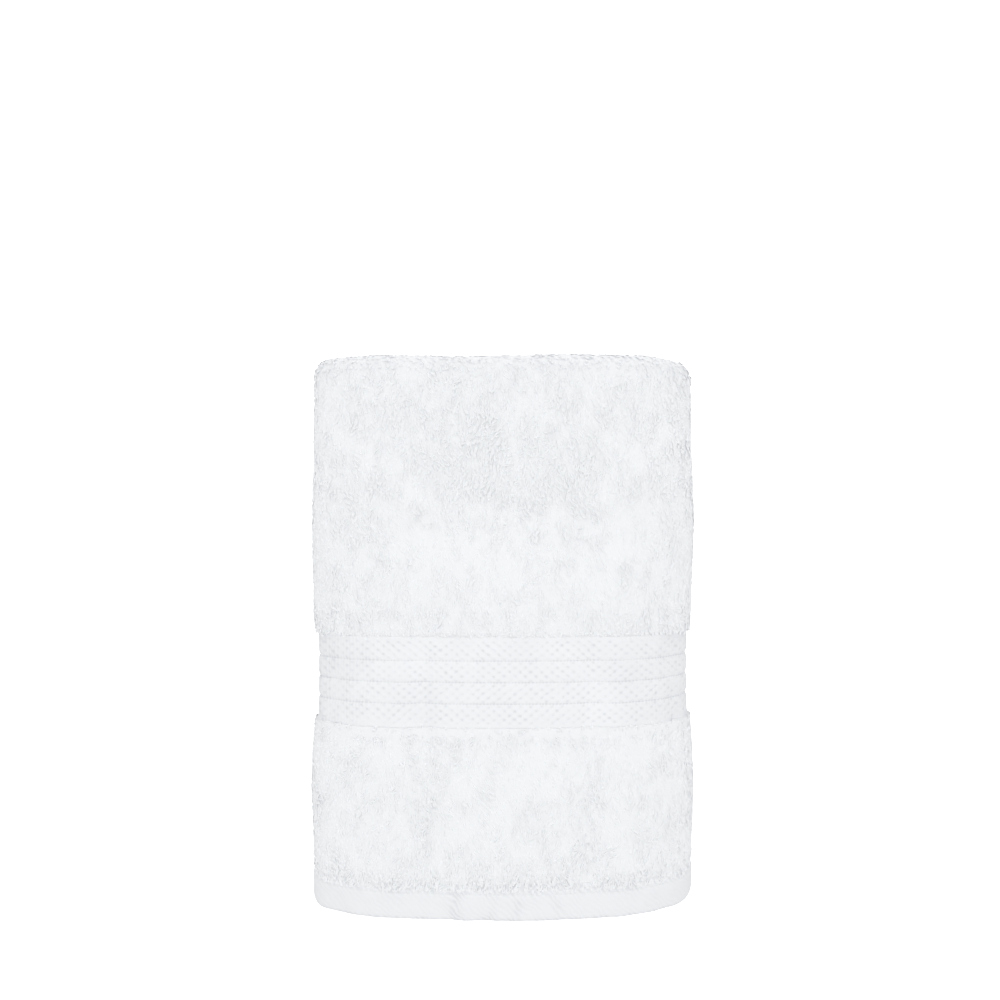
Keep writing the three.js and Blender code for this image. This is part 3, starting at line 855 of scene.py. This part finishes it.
# The lowest and the highest feet of the loops in each panel
panels = [
    ("upper", BORDER_TOP + 3.1, crest - TOP_REACH),
    ("lower", HEM_TOP - 0.2, BORDER_FOOT - 2.4),
]
left_middle, right_middle = (left_start + left_end) / 2, (right_start + right_end) / 2
last_loops = CLOTH_WIDTH - BARE_EDGE
sides = [
    ("left", left_start, left_middle, LOOP_SPACING),
    ("front", left_middle, right_middle, LOOP_SPACING),
    ("back", right_middle, last_loops, BACK_SPACING),
]
piles = [pile("pile_top", BARE_EDGE, last_loops, crest - TOP_REACH, crest + 36, 200, LOOP_SPACING)]
for i, (side, start, end, spacing) in enumerate(sides):
    for j, (panel, lowest, highest) in enumerate(panels):
        name = f"pile_{side}_{panel}"
        ends = (lowest, highest)[: 1 + j]
        piles.append(pile(name, start, end, lowest, highest, 100 + 10 * i + j, spacing, ends))


# The seam of the hem: a row of lockstitches in twisted white cotton thread, sewn along the hem's
# upper edge through its turned cloth. The stitches are drawn down between the hem and the pile.
STITCH = 3.1
STITCH_STEP = 0.93  # from one stitch to the next, and the length that shows, as shares of a stitch
STITCH_SHOWN = 0.86
STITCH_OUT = 1.6  # from the cloth's middle to the thread's middle
STITCH_BOW = 0.4
STITCH_SUNK = 0.2
THREAD = 0.2
STITCH_POINTS = np.array([0, 0.12, 0.36, 0.64, 0.88, 1])
SEAM_END = 3  # how far from each selvedge it ends

stitch_at = np.arange(SEAM_END, CLOTH_WIDTH - SEAM_END, STITCH * STITCH_STEP)
stitch_up = np.full(len(stitch_at), float(HEM_HEIGHT))
here, sideways, upwards, outwards = frame_at(stitch_up, stitch_at / CLOTH_WIDTH, STITCH_OUT)
stitch_along = (STITCH_POINTS - 0.5) * STITCH * STITCH_SHOWN
stitch_out = STITCH_BOW * np.sin(np.pi * STITCH_POINTS) ** 0.5 - STITCH_SUNK
stitch_paths = set_out(here, (stitch_along, sideways), (stitch_out, outwards))
stitch_thick = np.full((len(stitch_at), len(STITCH_POINTS) - 2), THREAD)
seam = make_mesh(
    "hem_seam",
    *strands(stitch_paths, stitch_thick, outwards, np.zeros(len(stitch_at)), 5),
    [fibre_cotton("sewing thread", WEAVE_TONES, 0.2, 0.05)],
)
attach(seam, "root")


# The studio: a table and a backdrop of white board, lit so that they show as plain white, the light
# that they and the room throw back from all round, a large soft light behind the camera, and the
# camera at the height of the towel's upper half. Lengths here are in metres.
CAMERA_BACK = 0.4427
CAMERA_HEIGHT = 0.2307
SENSOR_WIDTH = 36  # in millimetres, as the lens is
CAMERA_LENS = SENSOR_WIDTH * 0.6747
SHIFT_X, SHIFT_Y = -0.00535, 0.0383
FROM_ROUND = 0.652  # strength of the light, from level all round
FROM_ABOVE = 1.3
FROM_BELOW = 0.85
KEY_PLACE = (0.04, -1.8, 0.13)
KEY_AIM = (0, 0, 0.15)
KEY_SIZE = 1.2
KEY_POWER = 16.2

board_white = bpy.data.materials.new("board white")
board_white.use_nodes = True
board_shader = board_white.node_tree.nodes["Principled BSDF"]
board_shader.inputs["Base Color"].default_value = (0.8, 0.8, 0.8, 1)
board_shader.inputs["Roughness"].default_value = 0.9
board_shader.inputs["Emission Color"].default_value = (1, 1, 1, 1)
board_shader.inputs["Emission Strength"].default_value = 1.1


def board(name, corners):
    """A flat white board with four corners, which throws no light of its own on the towel."""
    mesh = bpy.data.meshes.new(name)
    mesh.from_pydata(corners, [], [(0, 1, 2, 3)])
    mesh.materials.append(board_white)
    sheet = add_object(name, mesh)
    sheet.visible_diffuse = False


board("table_top", [(-8, -8, 0), (8, -8, 0), (8, 8, 0), (-8, 8, 0)])
board("backdrop_sheet", [(-8, 7, -1), (8, 7, -1), (8, 7, 8), (-8, 7, 8)])

# The light from all round, which is stronger from straight above and from the table
world = bpy.data.worlds.new("studio")
bpy.context.scene.world = world
world.use_nodes = True
nodes, links = world.node_tree.nodes, world.node_tree.links
direction = new_node(nodes, "TexCoord")
parts = new_node(nodes, "SeparateXYZ")
height_light = new_node(nodes, "MapRange", From_Min=0.5, From_Max=1, To_Min=FROM_ROUND, To_Max=FROM_ABOVE)
height_light.interpolation_type = "SMOOTHSTEP"
table_light = new_node(nodes, "MapRange", From_Min=-0.1, From_Max=-0.8, To_Max=FROM_BELOW - FROM_ROUND)
table_light.interpolation_type = "SMOOTHSTEP"
links.new(direction.outputs["Generated"], parts.inputs["Vector"])
links.new(parts.outputs["Z"], height_light.inputs["Value"])
links.new(parts.outputs["Z"], table_light.inputs["Value"])
strength = joined(nodes, links, "ADD", height_light.outputs["Result"], table_light.outputs["Result"])
links.new(strength, nodes["Background"].inputs["Strength"])
nodes["Background"].inputs["Color"].default_value = (1, 1, 1, 1)

# The square soft light is turned from its place to face its aim
key = bpy.data.lights.new("key", "AREA")
key.size = KEY_SIZE
key.energy = KEY_POWER
right, ahead, rise = np.array(KEY_AIM) - np.array(KEY_PLACE)
tilt = np.arctan2(np.hypot(right, ahead), -rise)
turn = np.arctan2(ahead, right) - np.pi / 2
soft_light = add_object("key", key)
soft_light.location = KEY_PLACE
soft_light.rotation_euler = (tilt, 0, turn)

camera = add_object("camera", bpy.data.cameras.new("camera"))
camera.location = (0, -CAMERA_BACK, CAMERA_HEIGHT)
camera.rotation_euler = (np.pi / 2, 0, 0)
camera.data.lens = CAMERA_LENS
camera.data.sensor_width = SENSOR_WIDTH
camera.data.shift_x = SHIFT_X
camera.data.shift_y = SHIFT_Y
camera.data.clip_start = 0.01
bpy.context.scene.camera = camera
bpy.context.scene.view_settings.view_transform = "Standard"
